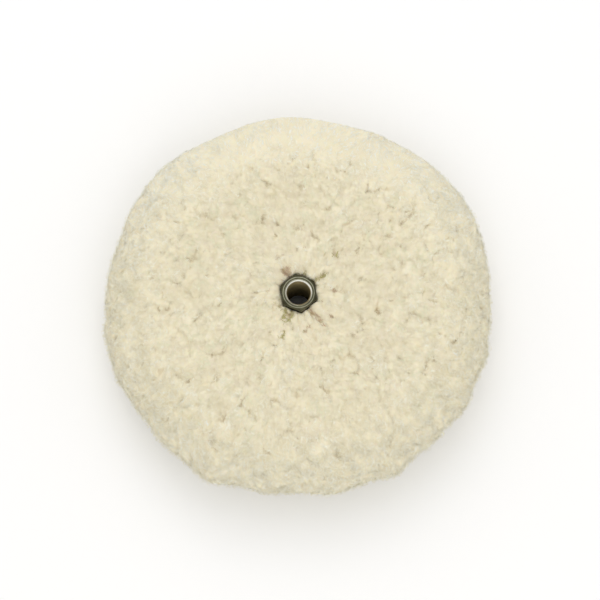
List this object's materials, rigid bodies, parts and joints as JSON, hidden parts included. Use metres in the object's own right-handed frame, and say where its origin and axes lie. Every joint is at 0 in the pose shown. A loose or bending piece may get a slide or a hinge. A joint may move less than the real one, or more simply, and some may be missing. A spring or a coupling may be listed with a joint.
{
  "type": "polishing pad",
  "caption": "Double-sided round wool polishing pad with a threaded steel hex hub that screws on to a rotary polisher's spindle.",
  "frame": {"origin": "on the hub's thread axis, at the pad's mid-plane", "axes": "+Z along the hub's thread axis, out of the front face; a corner of the hexagon lies on X"},
  "size_m": [0.23, 0.23, 0.05],
  "materials": {
    "hub_steel": "turned and tapped hexagon bar, lightly oiled, grey-green",
    "plate_steel": "stamped zinc-plated sheet",
    "rivet_steel": "zinc-plated",
    "fibre": "matt tan vulcanised fibre",
    "felt": "pressed grey felt",
    "backing": "close woven cotton",
    "wool": "natural cream wool, short matted curls",
    "thread": "polyester sewing thread",
    "binding": "woven cotton tape",
    "board": "pressed brown fibreboard"
  },
  "bodies": {
    "root": {"hub_nut": "hub_steel", "front_clamp_plate": "plate_steel", "front_fibre_washer": "fibre", "front_felt_cushion": "felt", "front_backing_cloth": "backing", "front_wool_pile": "wool", "front_seam_thread": "thread", "rear_clamp_plate": "plate_steel", "rear_fibre_washer": "fibre", "rear_felt_cushion": "felt", "rear_backing_cloth": "backing", "rear_wool_pile": "wool", "rear_seam_thread": "thread", "stiffener_disc": "board", "edge_binding": "binding", "hub_rivet_1": "rivet_steel", "hub_rivet_2": "rivet_steel", "hub_rivet_3": "rivet_steel", "hub_rivet_4": "rivet_steel", "hub_rivet_5": "rivet_steel", "hub_rivet_6": "rivet_steel"}
  },
  "joints": []
}
